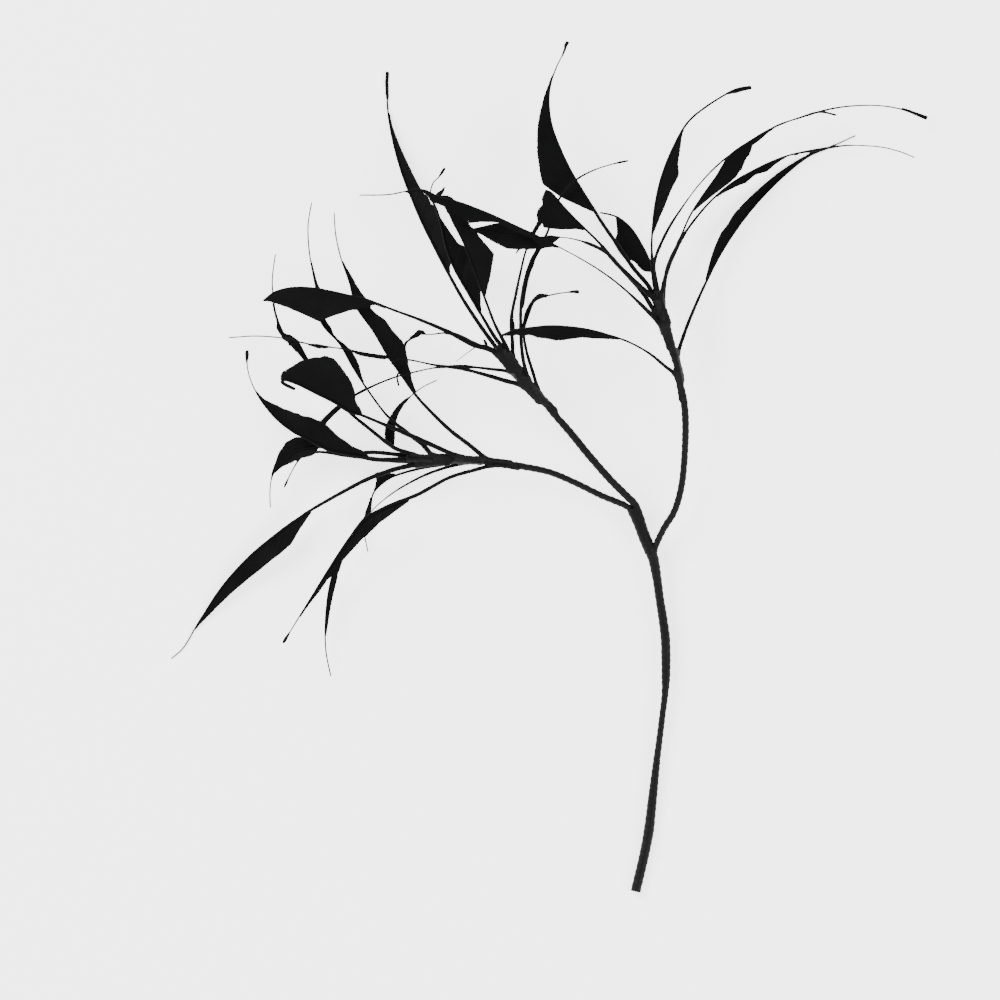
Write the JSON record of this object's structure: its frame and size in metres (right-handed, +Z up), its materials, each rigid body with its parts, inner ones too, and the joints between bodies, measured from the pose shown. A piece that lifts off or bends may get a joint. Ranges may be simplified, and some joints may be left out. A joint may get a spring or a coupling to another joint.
{
  "type": "goose feather hat mount",
  "caption": "Open spray of black trimmed goose feathers on three taped wire branches and one taped stem, sewn to a hat as trim",
  "frame": {"origin": "on the table under the middle of the lying spray's footprint", "axes": "+Z up from the table towards the side seen in the picture; +Y from the stem's cut end towards the feather tips; +X towards the side branch"},
  "size_m": [0.3802, 0.4268, 0.0604],
  "materials": {
    "tape": "black crepe tape wound in overlapping turns over the wire, dull with a faint sheen on its edges",
    "feather": "dyed black goose feather: satin barbs, smoother and glossier shaft"
  },
  "bodies": {
    "root": {"stem": "tape", "crown_branch": "tape", "middle_branch": "tape", "side_branch": "tape", "crown_feather_1": "feather", "crown_feather_2": "feather", "crown_feather_3": "feather", "crown_feather_4": "feather", "crown_feather_5": "feather", "crown_feather_6": "feather", "crown_feather_7": "feather", "crown_feather_8": "feather", "crown_feather_9": "feather", "crown_feather_10": "feather", "crown_feather_11": "feather", "crown_feather_12": "feather", "middle_feather_1": "feather", "middle_feather_2": "feather", "middle_feather_3": "feather", "middle_feather_4": "feather", "middle_feather_5": "feather", "middle_feather_6": "feather", "middle_feather_7": "feather", "middle_feather_8": "feather", "middle_feather_9": "feather", "middle_feather_10": "feather", "side_feather_1": "feather", "side_feather_2": "feather", "side_feather_3": "feather", "side_feather_4": "feather", "side_feather_5": "feather", "side_feather_6": "feather", "side_feather_7": "feather", "side_feather_8": "feather", "side_feather_9": "feather", "side_feather_10": "feather", "side_feather_11": "feather"}
  },
  "joints": []
}
